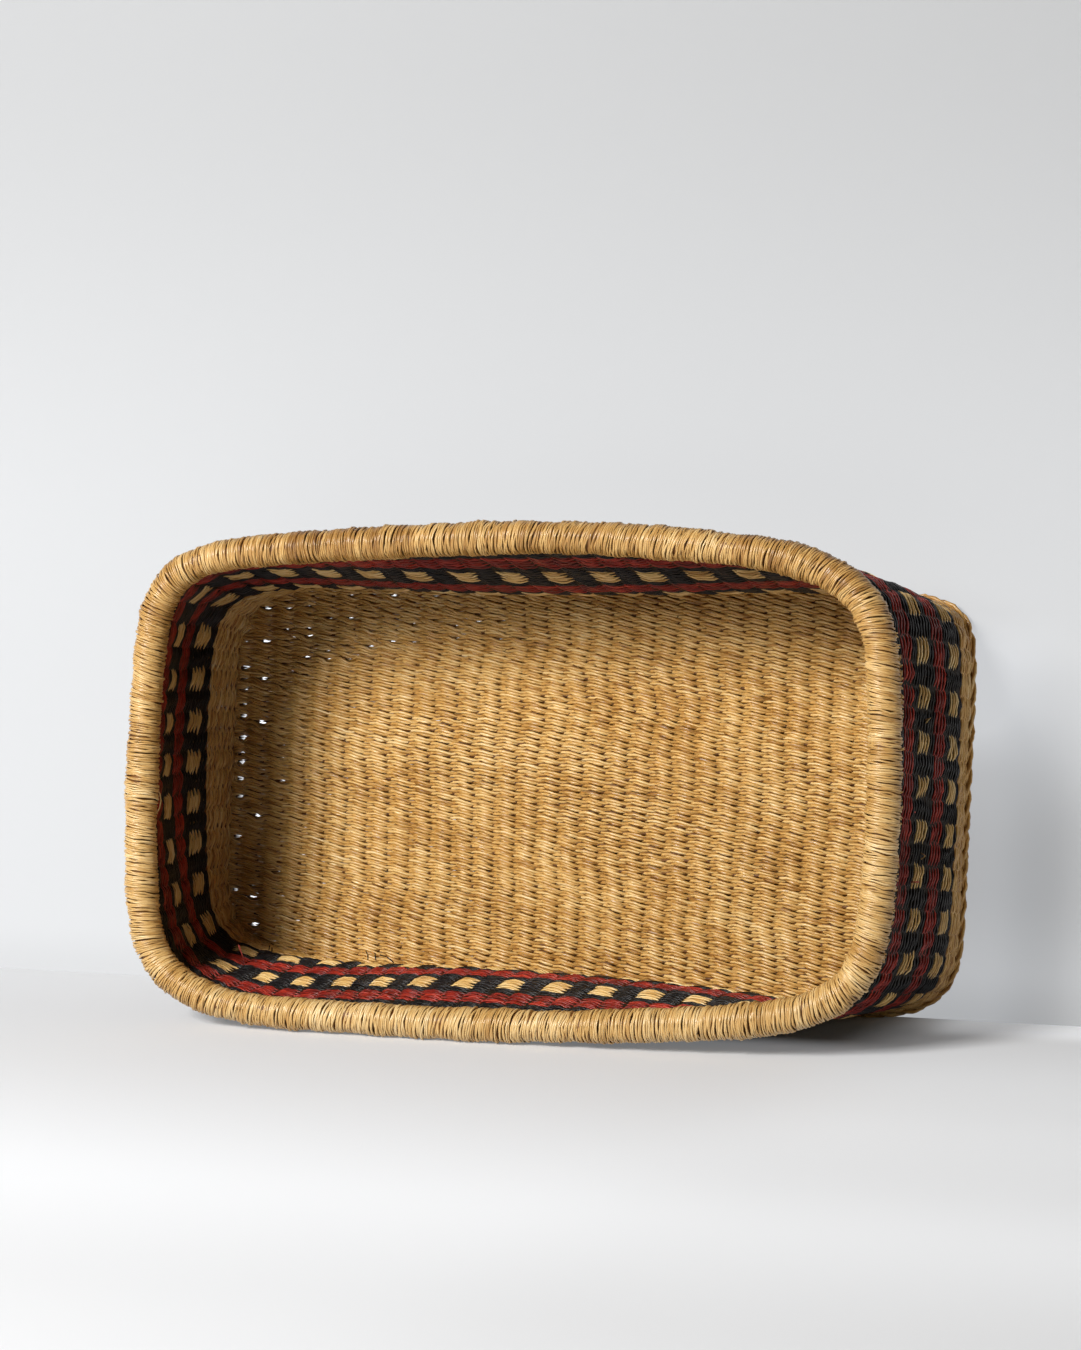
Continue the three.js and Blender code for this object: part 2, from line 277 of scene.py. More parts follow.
def wall_loop(share, tucked=True):
    """The line of the stakes at a share of the wall's height, and its outward directions."""
    straight = base_plan + (mouth_plan - base_plan) * share
    out = outward(straight)
    middle = 1 - (straight[:, 0] / BASE_HALF[0]) ** 2
    once = math.sin(math.pi * share)
    twice = math.sin(2 * math.pi * share)
    left = np.clip(-out[:, 0], 0, 1) ** 2
    right = np.clip(out[:, 0], 0, 1) ** 2
    far = np.clip(out[:, 1], 0, 1) ** 2
    near = np.clip(-out[:, 1], 0, 1) ** 2
    swell = left * (LEFT_BELLY[0] * once + LEFT_BELLY[1] * twice)
    swell += right * (RIGHT_BELLY[0] * once + RIGHT_BELLY[1] * twice)
    swell += far * ((FAR_BELLY[0] + FAR_WAIST * middle) * once + FAR_BELLY[1] * twice)
    swell += near * ((NEAR_BELLY[0] + NEAR_WAIST * middle) * once + NEAR_BELLY[1] * twice)
    loop = straight + out * swell[:, None]
    if tucked:
        for place, reach, shift, power in WALL_TUCKS:
            lean = math.sin(math.pi * max(share, 0) ** power)
            loop = strayed(loop, [(place, reach, np.array(shift) * lean)])
    return loop, outward(loop)


def stake_steps():
    """Places of the wall stakes as steps along the plan, from the girth half way up."""
    loop, _ = wall_loop(0.5, tucked=False)
    sides = np.linalg.norm(np.roll(loop, -1, 0) - loop, axis=1)
    walked = np.concatenate([[0], np.cumsum(sides)])
    girth = walked[-1]
    steps = np.arange(PLAN_STEPS + 1)
    whole = np.concatenate([walked[:-1], walked + girth])
    whole_steps = np.concatenate([steps[:-1], steps + PLAN_STEPS])
    places = np.interp(np.arange(WALL_STAKES), *zip(*SET_STAKES))
    return np.interp(places, whole, whole_steps)


STEP_AT_STAKE = stake_steps()


def plan_step(stake):
    """Step along the plan at a stake number, which may be a fraction."""
    number = np.concatenate([np.arange(WALL_STAKES), [WALL_STAKES]])
    step = np.concatenate([STEP_AT_STAKE, [STEP_AT_STAKE[0] + PLAN_STEPS]])
    return np.interp(np.mod(stake, WALL_STAKES), number, step)


def sample(loop, step):
    """Points of a closed loop at fractional steps."""
    low = np.floor(step).astype(int)
    part = (step - low)[:, None]
    return loop[low % PLAN_STEPS] * (1 - part) + loop[(low + 1) % PLAN_STEPS] * part


def wall_share(level):
    """Share of the wall's height at a level."""
    return (level - STAKE_LEVEL) / (RIM_LEVEL - STAKE_LEVEL)


def wall_places(stake, level):
    """Points, outward and upward directions on the wall for stake numbers at one level."""
    step = plan_step(stake)
    upper_level = level + UP_STEP
    loop, out = wall_loop(wall_share(level))
    upper, _ = wall_loop(wall_share(upper_level))
    point = np.column_stack([sample(loop, step), np.full(len(stake), level)])
    above = np.column_stack([sample(upper, step), np.full(len(stake), upper_level)])
    up = (above - point) / np.linalg.norm(above - point, axis=1)[:, None]
    side = np.column_stack([sample(out, step), np.zeros(len(stake))])
    side -= up * np.sum(side * up, axis=1)[:, None]
    side /= np.linalg.norm(side, axis=1)[:, None]
    return point, side, up


def into_frame(points):
    """Half a turn about the upright axis, and metres."""
    return np.column_stack([-points[:, 0], -points[:, 1], points[:, 2]]) * MM


# Unevenness


class Wander:
    """A smooth random field over two directions, for the unevenness of hand work."""

    def __init__(self, size, first_reach, second_reach, waves=14):
        self.first = rng.normal(0, TURN / first_reach, waves)
        self.second = rng.normal(0, TURN / second_reach, waves)
        self.phase = rng.uniform(0, TURN, waves)
        self.size = size * math.sqrt(2 / waves)

    def __call__(self, first, second):
        angle = np.multiply.outer(first, self.first) + np.multiply.outer(second, self.second)
        return self.size * np.sin(angle + self.phase).sum(axis=-1)


def circle(turn, size):
    """Where a random field is read, so that it closes on itself round the basket."""
    return size * np.cos(turn), size * np.sin(turn)


# Straws into meshes

# Share of a whole number that the map of one straw covers across it, and how close in
# metres two points are that are joined
MAP_WIDTH = 0.8
SAME_PLACE = 1e-6


class Straws:
    """Collects straws as the splines of one curve, and makes one mesh piece of them."""

    def __init__(self, name, resolution=1):
        self.curve = bpy.data.curves.new(name, "CURVE")
        self.curve.dimensions = "3D"
        self.curve.bevel_depth = MM
        self.curve.bevel_resolution = resolution
        self.curve.use_fill_caps = True
        self.name = name
        # A curve's round section has this many sides
        self.sides = 4 + 2 * resolution
        self.lengths = []
        self.rings = []

    def add(self, points, radius, closed=False):
        """One straw through points in the plan's millimetres."""
        placed = into_frame(points)
        spline = self.curve.splines.new("POLY")
        spline.points.add(len(placed) - 1)
        spline.points.foreach_set("co", np.column_stack([placed, np.ones(len(placed))]).ravel())
        spline.points.foreach_set("radius", np.broadcast_to(radius, len(placed)).astype(float))
        spline.use_cyclic_u = closed
        self.lengths.append(np.linalg.norm(np.diff(placed, axis=0), axis=1).sum())
        self.rings.append(len(placed))

    def finish(self, material):
        """The piece: its map runs along each straw in metres, and each straw has a whole number."""
        holder = bpy.data.objects.new(self.name, self.curve)
        bpy.context.scene.collection.objects.link(holder)
        mesh = bpy.data.meshes.new_from_object(holder)
        bpy.data.objects.remove(holder)
        caps = len(mesh.vertices) - sum(self.rings) * self.sides
        owner = np.repeat(np.arange(len(self.rings)), np.array(self.rings) * self.sides)
        owner = np.concatenate([np.zeros(caps, dtype=int), owner])
        corner = np.empty(len(mesh.loops), dtype=np.int32)
        mesh.loops.foreach_get("vertex_index", corner)
        straw = owner[corner]
        layer = mesh.uv_layers[0]
        places = np.empty(len(mesh.loops) * 2)
        layer.data.foreach_get("uv", places)
        places = places.reshape(-1, 2)
        places[:, 0] *= np.array(self.lengths)[straw]
        places[:, 1] = places[:, 1] * MAP_WIDTH + straw
        layer.data.foreach_set("uv", places.ravel())
        if caps:
            close_ends(mesh)
        piece = bpy.data.objects.new(self.name, mesh)
        bpy.context.scene.collection.objects.link(piece)
        mesh.materials.clear()
        mesh.materials.append(material)
        return piece


def close_ends(mesh):
    """Join the caps of open straws to their sides."""
    work = bmesh.new()
    work.from_mesh(mesh)
    bmesh.ops.remove_doubles(work, verts=work.verts, dist=SAME_PLACE)
    work.to_mesh(mesh)
    work.free()


def twist(stake, straw, depth, swing, flatness):
    """Depth and rise of one of a row's two straws, front on every second stake."""
    phase = math.pi * (stake - straw)
    face = np.cos(phase)
    return depth * np.sign(face) * np.abs(face) ** flatness, -swing * np.sin(phase)


def squeezed(stake):
    """One half way between stakes, where a straw turns on edge to pass its neighbour."""
    return np.sin(math.pi * stake) ** 2


wall_sag = Wander(size=0.45, first_reach=60, second_reach=17)
wall_lump = Wander(size=0.25, first_reach=9, second_reach=5)
ply_rock = Wander(size=0.24, first_reach=2.4, second_reach=1.7)
wall_phase = Wander(size=0.05, first_reach=14, second_reach=3)


def wall_row(
    target,
    level,
    row,
    straws=(0, 1),
    pitch=ROW_PITCH,
    radius=WALL_PLY_RADIUS,
    spread=WALL_PLY_SPREAD,
    swing=WALL_SWING,
    tilt=0,
):
    """A twined row round the wall at one level. A tilt turns one ply behind the other."""
    stake = np.arange(WALL_STAKES * POINTS_PER_STAKE) / POINTS_PER_STAKE
    point, side, up = wall_places(stake, level)
    round_x, round_y = circle(stake * TURN / WALL_STAKES, WALL_CIRCLE)
    rock_x = round_x * ROCK_STRETCH
    rock_y = round_y * ROCK_STRETCH
    fine = pitch / ROW_PITCH
    sag = wall_sag(round_x + row * SAG_STEP, round_y)
    lump = wall_lump(round_x * LUMP_STRETCH + row, round_y * LUMP_STRETCH)
    uneven = stake + wall_phase(round_x, round_y + row * PHASE_STEP)
    for straw in straws:
        depth, rise = twist(uneven, straw, WALL_DEPTH, swing * fine, WALL_FLATNESS)
        rock = tilt + ply_rock(rock_x + straw * ROCK_STRAW_STEP + row * ROCK_ROW_STEP, rock_y)
        rock += WALL_ROLL * squeezed(uneven)
        for ply in (-1, 1):
            across = rise + sag + ply * spread * fine * np.cos(rock)
            through = depth + lump + ply * spread * fine * np.sin(rock)
            path = point + up * across[:, None] + side * through[:, None]
            size = radius * fine * (1 + WALL_PLY_UNEVENNESS * np.sin(rock * PLY_WAVES + ply))
            target.add(path, size, closed=True)


def wall_filling(target, level, row, radius=WALL_FILLING_RADIUS):
    """Loose fibre inside the wall, along a row or between two rows."""
    stake = np.arange(WALL_STAKES * WALL_FILLING_POINTS) / WALL_FILLING_POINTS
    point, _, up = wall_places(stake, level)
    round_x, round_y = circle(stake * TURN / WALL_STAKES, WALL_CIRCLE)
    sag = wall_sag(round_x + row * SAG_STEP, round_y)
    target.add(point + up * sag[:, None], radius, closed=True)


# Base


base_drift = Wander(size=0.9, first_reach=150, second_reach=130)
base_ripple = Wander(size=0.04, first_reach=30, second_reach=9)
column_drift = Wander(size=1.6, first_reach=400, second_reach=70)
base_rock = Wander(size=0.2, first_reach=22, second_reach=5)
base_phase = Wander(size=0.05, first_reach=60, second_reach=4)

# How close to the far and near walls the rows of the base stop wandering
EDGE_POWER = 6

# Gaps in the base, where light comes through: how far along and across a row they reach,
# and how far the loose fibre keeps clear of them, as shares of that
GAP_HEIGHT = 2.6
GAP_LENGTH = 3.6
CORNER_GAP_LENGTH = 2.6
PINHOLE_LENGTH = 2.9
CLEAR_HEIGHT = 1.5
CLEAR_LENGTH = 1.2
THINNED_RADIUS = 0.1

# Gaps near the left end, and gaps in its corner with the wall: along, across, size
GAPS = (
    (-222.2, 105, 1.7),
    (-222.2, 84, 1.5),
    (-222.2, 59, 1.8),
    (-222.2, 30, 2.0),
    (-221.7, -28, 1.5),
    (-222.2, -78, 1.5),
    (-222.7, -85, 1.7),
    (-220.7, -102, 1.8),
)
CORNER_GAPS = (
    (-236.3, 97, 2.0),
    (-236.3, 90, 2.8),
    (-236.3, 83, 1.6),
    (-236.1, 67, 2.8),
    (-236.1, 60, 2.4),
    (-235.6, 50, 1.8),
    (-235.6, 39, 2.2),
    (-235.6, 33, 2.8),
    (-235.1, 18, 2.6),
    (-235.1, 9, 2.0),
    (-235.1, 2, 3.0),
    (-235.6, -6, 2.4),
    (-235.6, -20, 1.8),
    (-235.9, -44, 2.0),
    (-235.6, -79, 2.2),
    (-236.1, -92, 2.4),
)

# Columns of pinholes: along, first and last place across, share of the rows, size
PINHOLE_SIZES = (0.85, 1.1)
PINHOLE_COLUMNS = (
    (-207.1, -104, 20, 0.25, 1.2),
    (-207.1, 20, 112, 0.7, 1.5),
    (-192.7, 30, 114, 0.5, 1.3),
    (-178.3, 60, 116, 0.5, 1.25),
    (-163.9, 74, 116, 0.45, 1.2),
    (-149.5, 80, 116, 0.45, 1.2),
    (-135.1, 84, 116, 0.45, 1.15),
    (-120.7, 84, 116, 0.4, 1.15),
    (-106.3, 84, 116, 0.4, 1.1),
    (-91.9, 86, 116, 0.35, 1.1),
    (-77.5, 86, 116, 0.35, 1.1),
    (-63.1, 88, 116, 0.3, 1.05),
    (-48.7, 88, 116, 0.25, 1.05),
)


def pinholes():
    """Pinholes between the stakes, at rows picked by chance."""
    gaps = []
    for place, low, high, share, size in PINHOLE_COLUMNS:
        for height in np.arange(low, high, 2 * BASE_HALF[1] / BASE_ROWS):
            if rng.random() < share:
                gaps.append((place, height, size * rng.uniform(*PINHOLE_SIZES), PINHOLE_LENGTH))
    return gaps


base_gaps = [(*gap, GAP_LENGTH) for gap in GAPS]
base_gaps += [(*gap, CORNER_GAP_LENGTH) for gap in CORNER_GAPS]
base_gaps += pinholes()


def base_point(along, across):
    """A place on the base from millimetres along it and a share across it."""
    share = along / BASE_HALF[0]
    width = (BASE_HALF[1] + BASE_BOW[1] * (1 - share**2)) * (1 + BASE_TAPER * share)
    flat = np.column_stack([along, across * width])
    flat = strayed(turned(flat + BASE_SHIFT, BASE_TWIST), BASE_STRAYS)
    return np.column_stack([flat, np.full(len(flat), STAKE_LEVEL + BASE_LIFT)])


def base_across(share):
    """Share across the base for a share of its rows, leaving room for the wall."""
    return share * (1 - WALL_ROOM / BASE_HALF[1])


def stakes_to_end(across):
    """Stake numbers from one end of a base row to the other."""
    reach = (BASE_HALF[0] + BASE_ROW_REACH) * (1 - abs(across) ** BASE_POWER) ** (1 / BASE_POWER)
    first = (-reach - LEFT_FOOT - BASE_STAKE_SHIFT) / BASE_STAKE_PITCH * POINTS_PER_STAKE
    first = math.ceil(first)
    last = math.floor((reach - BASE_STAKE_SHIFT) / BASE_STAKE_PITCH * POINTS_PER_STAKE)
    return np.arange(first, last + 1) / POINTS_PER_STAKE


def column_place(stake, level):
    """Millimetres along the base at a stake number, where the columns wander a little."""
    along = stake * BASE_STAKE_PITCH + BASE_STAKE_SHIFT
    return along + column_drift(along, level) * (1 - (along / BASE_HALF[0]) ** 2)


def between_rows(height):
    """The line between two rows of the base that lies nearest to a height."""
    pitch = 2 * base_across(1) * BASE_HALF[1] / BASE_ROWS
    return round(height / pitch) * pitch


def opening(along, across):
    """How far the gaps push a row aside: most at one gap height from a gap's middle."""
    level = across * BASE_HALF[1]
    push = np.zeros(len(along))
    for place, height, size, length in base_gaps:
        near = np.exp(-(((along - place) / length) ** 2))
        away = (level - between_rows(height)) / GAP_HEIGHT
        push += size * near * away * np.exp(0.5 - away**2 / 2)
    return push


def base_row(target, row):
    """A twined row along the base, from one short wall to the other."""
    share = (row + 0.5) / BASE_ROWS * 2 - 1
    across = base_across(share)
    stake = stakes_to_end(across)
    level = across * BASE_HALF[1]
    along = column_place(stake, level)
    edge = 1 - abs(across) ** EDGE_POWER
    drift = (base_drift(along, level) + base_ripple(along, level)) * edge
    drift += opening(along, across)
    point = base_point(along, np.full(len(along), across))
    uneven = stake + base_phase(along, level)
    for straw in (0, 1):
        depth, rise = twist(uneven, straw, BASE_DEPTH, BASE_SWING, BASE_FLATNESS)
        rock = base_rock(along + straw * BASE_STRAW_STEP, level) + BASE_ROLL * squeezed(uneven)
        for ply in (-1, 1):
            path = point.copy()
            path[:, 1] += rise + drift + ply * BASE_PLY_SPREAD * np.cos(rock)
            path[:, 2] += depth + ply * BASE_PLY_SPREAD * np.sin(rock)
            thickening = 1 + BASE_PLY_UNEVENNESS * np.sin(rock * PLY_WAVES + ply)
            target.add(path, BASE_PLY_RADIUS * thickening)


def base_filling(target, row):
    """Loose fibre between two rows of the base, thinned out where light comes through."""
    across = base_across(row / BASE_ROWS * 2 - 1)
    stake = stakes_to_end(across)[::BASE_FILLING_STEP]
    level = across * BASE_HALF[1]
    along = column_place(stake, level)
    size = np.full(len(along), BASE_FILLING_RADIUS)
    for place, height, _, length in base_gaps:
        if abs(level - between_rows(height)) < GAP_HEIGHT * CLEAR_HEIGHT:
            size[np.abs(along - place) < length * CLEAR_LENGTH] = THINNED_RADIUS
    edge = 1 - abs(across) ** EDGE_POWER
    drift = (base_drift(along, level) + base_ripple(along, level)) * edge
    path = base_point(along, np.full(len(along), across))
    path[:, 1] += drift
    target.add(path, size)


# Materials

# Grass straw, from its own map in metres along and straws across: how finely each noise
# changes in both directions, and its share of the tone
TONE_SCALE = (40, 3.7, 1)
WHOLE_SCALE = (5, 1.9, 1)
FIBRE_SCALE = (110, 11, 1)
KNOT_SCALE = (230, 17, 1)
PATCH_SCALE = 21
TONE_SHARE = 0.5
WHOLE_SHARE = 0.22
FIBRE_SHARE = 0.28
KNOT_START = 0.66
KNOT_CONTRAST = 9
FIBRE_BUMP = 0.6
FIBRE_HEIGHT = 0.0003
GLOSS_SPREAD = 0.3


def linear(red, green, blue):
    """Linear colour from screen values."""
    def one(value):
        value = value / 255
        if value <= 0.04045:
            return value / 12.92
        return ((value + 0.055) / 1.055) ** 2.4
    return (one(red), one(green), one(blue), 1)


class Nodes:
    """Short forms for building a material."""

    def __init__(self, name):
        self.material = bpy.data.materials.new(name)
        self.material.use_nodes = True
        self.tree = self.material.node_tree
        self.shader = self.tree.nodes["Principled BSDF"]

    def new(self, kind, **values):
        node = self.tree.nodes.new(kind)
        for name, value in values.items():
            setattr(node, name, value)
        return node

    def link(self, source, target):
        self.tree.links.new(source, target)

    def stretched(self, source, scale):
        """A vector multiplied along each of its directions."""
        node = self.new("ShaderNodeVectorMath", operation="MULTIPLY")
        node.inputs[1].default_value = scale
        self.link(source, node.inputs[0])
        return node.outputs[0]

    def noise(self, vector, scale=1, detail=1, roughness=0.5):
        node = self.new("ShaderNodeTexNoise")
        node.inputs["Scale"].default_value = scale
        node.inputs["Detail"].default_value = detail
        node.inputs["Roughness"].default_value = roughness
        self.link(vector, node.inputs["Vector"])
        return node.outputs["Fac"]

    def ramp(self, source, stops):
        """Colours at places between nought and one, given in screen values."""
        node = self.new("ShaderNodeValToRGB")
        band = node.color_ramp
        while len(band.elements) < len(stops):
            band.elements.new(1)
        for element, (place, *colour) in zip(band.elements, stops):
            element.position = place
            element.color = linear(*colour)
        self.link(source, node.inputs["Fac"])
        return node.outputs["Color"]

    def mathed(self, operation, first, second):
        node = self.new("ShaderNodeMath", operation=operation)
        for socket, value in zip(node.inputs, (first, second)):
            if isinstance(value, (int, float)):
                socket.default_value = value
            else:
                self.link(value, socket)
        return node.outputs[0]


def straw_material(name, stops, roughness, specular, patch=0.14, knots=0.0, near=0.0):
    """Dried grass: the tone wanders along each straw, and fine fibres run along it.

    Patch is the share of broad patches in the tone, and knots how dark the spots are. A near
    value above nought paints light: it makes the straw paler towards the near long side.
    """
    nodes = Nodes(name)
    places = nodes.new("ShaderNodeUVMap").outputs["UV"]
    solid = nodes.new("ShaderNodeTexCoord").outputs["Object"]
    tone = nodes.noise(nodes.stretched(places, TONE_SCALE), detail=2)
    whole = nodes.noise(nodes.stretched(places, WHOLE_SCALE))
    fibres = nodes.noise(nodes.stretched(places, FIBRE_SCALE), detail=3, roughness=0.65)
    patches = nodes.noise(solid, PATCH_SCALE, detail=3, roughness=0.6)
    mixed = nodes.mathed("MULTIPLY", tone, TONE_SHARE - patch)
    mixed = nodes.mathed("ADD", mixed, nodes.mathed("MULTIPLY", whole, WHOLE_SHARE))
    mixed = nodes.mathed("ADD", mixed, nodes.mathed("MULTIPLY", fibres, FIBRE_SHARE))
    mixed = nodes.mathed("ADD", mixed, nodes.mathed("MULTIPLY", patches, patch))
    if knots:
        spots = nodes.noise(nodes.stretched(places, KNOT_SCALE))
        spots = nodes.mathed("SUBTRACT", spots, KNOT_START)
        spots = nodes.mathed("MULTIPLY", spots, KNOT_CONTRAST)
        spots = nodes.mathed("MAXIMUM", spots, 0)
        mixed = nodes.mathed("SUBTRACT", mixed, nodes.mathed("MULTIPLY", spots, knots))
    if near:
        split = nodes.new("ShaderNodeSeparateXYZ")
        nodes.link(solid, split.inputs[0])
        mixed = nodes.mathed("ADD", mixed, nodes.mathed("MULTIPLY", split.outputs["Y"], near))
    nodes.link(nodes.ramp(mixed, stops), nodes.shader.inputs["Base Color"])
    bump = nodes.new("ShaderNodeBump")
    bump.inputs["Strength"].default_value = FIBRE_BUMP
    bump.inputs["Distance"].default_value = FIBRE_HEIGHT
    nodes.link(fibres, bump.inputs["Height"])
    nodes.link(bump.outputs["Normal"], nodes.shader.inputs["Normal"])
    gloss = nodes.mathed("MULTIPLY", fibres, GLOSS_SPREAD)
    gloss = nodes.mathed("ADD", gloss, roughness - GLOSS_SPREAD / 2)
    nodes.link(gloss, nodes.shader.inputs["Roughness"])
    nodes.shader.inputs["Specular IOR Level"].default_value = specular
    return nodes.material


natural_straw = straw_material(
    "natural_straw",
    [
        (0.34, 96, 57, 19),
        (0.43, 166, 118, 54),
        (0.5, 203, 158, 87),
        (0.57, 221, 186, 122),
        (0.66, 236, 213, 168),
    ],
    roughness=0.34,
    specular=0.55,
    knots=0.3,
)
dot_straw = straw_material(
    "dot_straw",
    [
        (0.34, 100, 60, 22),
        (0.43, 180, 134, 68),
        (0.5, 216, 176, 106),
        (0.57, 232, 202, 142),
        (0.66, 242, 222, 180),
    ],
    roughness=0.34,
    specular=0.55,
)
red_straw = straw_material(
    "red_straw",
    [
        (0.38, 44, 8, 5),
        (0.5, 126, 27, 17),
        (0.6, 186, 58, 38),
    ],
    roughness=0.37,
    specular=0.33,
)
# Paler red of the loose red ends: painted light, so that the end that lies in shade reads pink
painted_light_red_straw = straw_material(
    "painted_light_red_straw",
    [
        (0.38, 150, 52, 46),
        (0.5, 206, 96, 86),
        (0.6, 228, 132, 118),
    ],
    roughness=0.4,
    specular=0.3,
)
black_straw = straw_material(
    "black_straw",
    [
        (0.38, 3, 2, 2),
        (0.5, 11, 9, 10),
        (0.62, 40, 34, 36),
    ],
    roughness=0.38,
    specular=0.3,
)
rim_straw = straw_material(
    "rim_straw",
    [
        (0.34, 104, 65, 26),
        (0.43, 166, 122, 62),
        (0.5, 200, 160, 96),
        (0.58, 222, 190, 133),
        (0.68, 238, 218, 176),
    ],
    roughness=0.34,
    specular=0.6,
    patch=0.2,
    knots=0.15,
    # Painted light: the rim is paler towards the near long side and darker towards the far one
    near=0.22,
)
stake_straw = straw_material(
    "stake_straw",
    [
        (0.36, 70, 45, 20),
        (0.52, 118, 82, 42),
        (0.68, 150, 112, 62),
    ],
    roughness=0.55,
    specular=0.3,
)
# Dark brown of the loose fibre in the base and the plain rows and of the rim's core: painted shade,
# seen in the gaps between the straws
inner_straw_painted_shade = straw_material(
    "inner_straw_painted_shade",
    [
        (0.36, 66, 38, 12),
        (0.52, 104, 64, 24),
        (0.68, 134, 88, 38),
    ],
    roughness=0.55,
    specular=0.3,
)
# Near black of the loose fibre in the coloured bands: painted shade, seen in the slits between the
# straws
shade_straw = straw_material(
    "shade_straw",
    [
        (0.36, 14, 10, 6),
        (0.52, 30, 21, 11),
        (0.68, 52, 37, 19),
    ],
    roughness=0.6,
    specular=0.2,
)


# Pieces


def keep(piece, slot, *nodes):
    """Finish a piece: body and the CAD nodes that it stands for. The slot is not used."""
    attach(piece, "root")
    if nodes:
        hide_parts(*nodes)


def both_faces(band):
    """The two CAD nodes of a band of the wall."""
    return [f"{band}_outer", f"{band}_inner"]


# The rows of the base are split between so many pieces
BASE_PIECES = 3


def build_base():
    for part in range(BASE_PIECES):
        target = Straws(f"base_weave_{part + 1}")
        first = part * BASE_ROWS // BASE_PIECES
        for row in range(first, (part + 1) * BASE_ROWS // BASE_PIECES):
            base_row(target, row)
        nodes = ["base_weft_bottom", "base_weft_top"] if part == 0 else []
        keep(target.finish(natural_straw), "natural_straw", *nodes)
    filling = Straws("base_filling")
    for row in range(1, BASE_ROWS):
        base_filling(filling, row)
    keep(filling.finish(inner_straw_painted_shade), "natural_straw")


def natural_rows(level, row):
    """The plain rows at the foot of the wall. Gives the next row's level and number."""
    filling = Straws("natural_filling")
    target = Straws("natural_weave")
    for _ in range(NATURAL_ROWS):
        wall_row(
            target,
            level + ROW_PITCH / 2,
            row,
            radius=NATURAL_PLY_RADIUS,
            spread=NATURAL_PLY_SPREAD,
            swing=NATURAL_SWING,
        )
        level += ROW_PITCH
        row += 1
        wall_filling(filling, level, row, NATURAL_FILLING_RADIUS)
    keep(target.finish(natural_straw), "natural_straw", *both_faces("natural_band"))
    keep(filling.finish(inner_straw_painted_shade), "natural_straw")
    return level, row


def dotted_rows(place, dotted_straw, filling, level, row):
    """Black rows at both edges of the band, and between them rows with one natural straw.

    Gives the next row's level and number.
    """
    black = Straws(f"black_weave_{place}")
    dots = Straws(f"dots_{place}")
    kinds = ["margin"] * MARGIN_ROWS + ["dots"] * DOT_ROWS + ["margin"] * MARGIN_ROWS
    if place == "high":
        # The lowest row between the margins of the upper band has no dots
        kinds[MARGIN_ROWS] = "plain"
    for kind in kinds:
        pitch = FINE_PITCH if kind == "margin" else ROW_PITCH
        middle = level + pitch / 2
        if kind == "dots":
            wall_row(dots, middle, row, (dotted_straw,), radius=DOT_PLY_RADIUS, tilt=DOT_TILT)
            wall_row(black, middle, row, (1 - dotted_straw,))
        else:
            wall_row(black, middle, row, pitch=pitch)
        wall_filling(filling, middle, row)
        level += pitch
        row += 1
        if level < RIM_LEVEL - RIM_RADIUS:
            wall_filling(filling, level, row)
    keep(black.finish(black_straw), "black_straw", *both_faces(f"dotted_band_{place}"))
    keep(dots.finish(dot_straw), "natural_straw")
    return level, row


def red_rows(place, filling, level, row):
    """A red band. Gives the next row's level and number."""
    target = Straws(f"red_weave_{place}")
    for _ in range(RED_ROWS):
        middle = level + ROW_PITCH / 2
        wall_row(target, middle, row)
        wall_filling(filling, middle, row)
        level += ROW_PITCH
        row += 1
        wall_filling(filling, level, row)
    keep(target.finish(red_straw), "red_straw", *both_faces(f"red_band_{place}"))
    return level, row


def build_walls():
    """The bands from the foot of the wall to the rim."""
    level, row = natural_rows(STAKE_LEVEL, 0)
    filling = Straws("wall_filling")
    level, row = dotted_rows("low", 0, filling, level, row)
    level, row = red_rows("low", filling, level, row)
    level, row = dotted_rows("mid", 0, filling, level, row)
    level, row = red_rows("high", filling, level, row)
    dotted_rows("high", 1, filling, level, row)
    keep(filling.finish(shade_straw), "black_straw")


def build_border():
    """The fat twined edge round the foot of the walls."""
    target = Straws("border_twine")
    stake = np.arange(WALL_STAKES * BORDER_POINTS) / BORDER_POINTS
    point, side, up = wall_places(stake, BORDER_LEVEL)
    round_x, round_y = circle(stake * TURN / WALL_STAKES, BORDER_CIRCLE)
    late = stake + BORDER_PHASE
    for straw in (0, 1):
        depth, rise = twist(late, straw, BORDER_DEPTH, BORDER_SWING, WALL_FLATNESS)
        rock = BORDER_ROLL + ply_rock(round_x + straw * BORDER_STRAW_STEP, round_y)
        for ply in (-1, 1):
            across = rise + ply * BORDER_SPREAD * np.cos(rock)
            through = BORDER_OFFSET + depth + ply * BORDER_SPREAD * np.sin(rock)
            path = point + up * across[:, None] + side * through[:, None]
            target.add(path, BORDER_PLY_RADIUS, closed=True)
    keep(target.finish(natural_straw), "natural_straw", "base_border")


